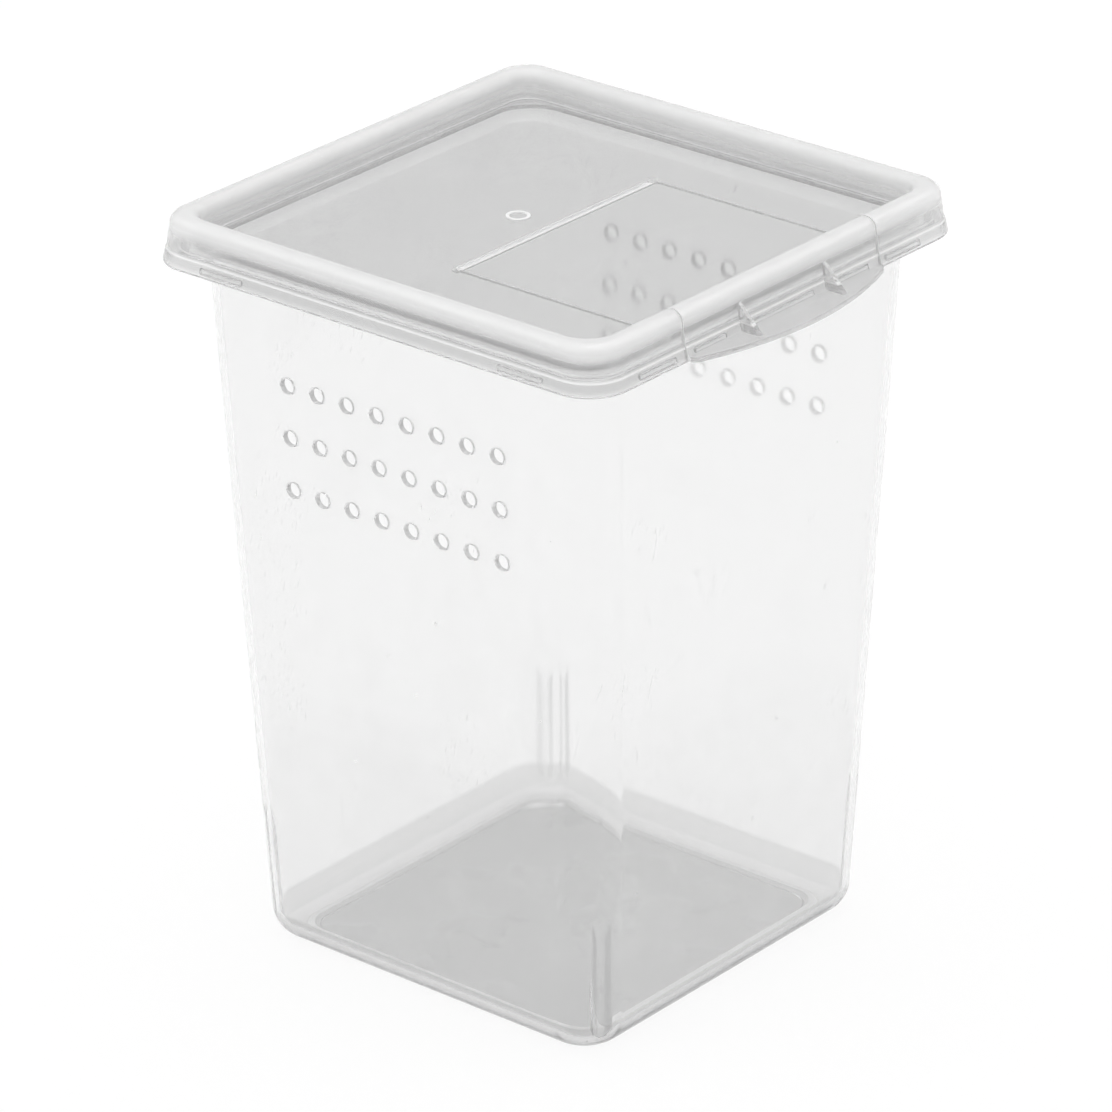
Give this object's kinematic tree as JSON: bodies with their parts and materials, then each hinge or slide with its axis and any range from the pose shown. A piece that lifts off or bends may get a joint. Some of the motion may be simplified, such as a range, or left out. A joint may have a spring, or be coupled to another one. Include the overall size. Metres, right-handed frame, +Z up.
{
  "type": "plastic pet keeper",
  "caption": "Tall translucent plastic box for small animals, with air holes in two walls and a press-on lid whose front part is a hinged feeding flap with a pull ledge.",
  "frame": {"origin": "middle of the base, on the ground", "axes": "+Z up, -Y to the front with the flap's pull ledge, air holes in the walls at -X and +X"},
  "size_m": [0.11, 0.1165, 0.1532],
  "materials": {
    "tub_plastic": "smooth, clear to slightly milky moulded plastic",
    "lid_plastic": "satin, milky moulded plastic"
  },
  "bodies": {
    "tub": {"tub": "tub_plastic"},
    "lid": {"lid_frame": "lid_plastic", "living_hinge": "lid_plastic"},
    "flap": {"feeding_door": "lid_plastic"}
  },
  "joints": [
    {"name": "lid_lift", "type": "slide", "parent": "tub", "child": "lid", "axis": [0, 0, 1], "range_m": [0, 0.06]},
    {"name": "flap_hinge", "type": "hinge", "parent": "lid", "child": "flap", "pos_m": [0, 0, 0.1473], "axis": [-1, 0, 0], "range_deg": [0, 120], "deforming": ["living_hinge"]}
  ]
}
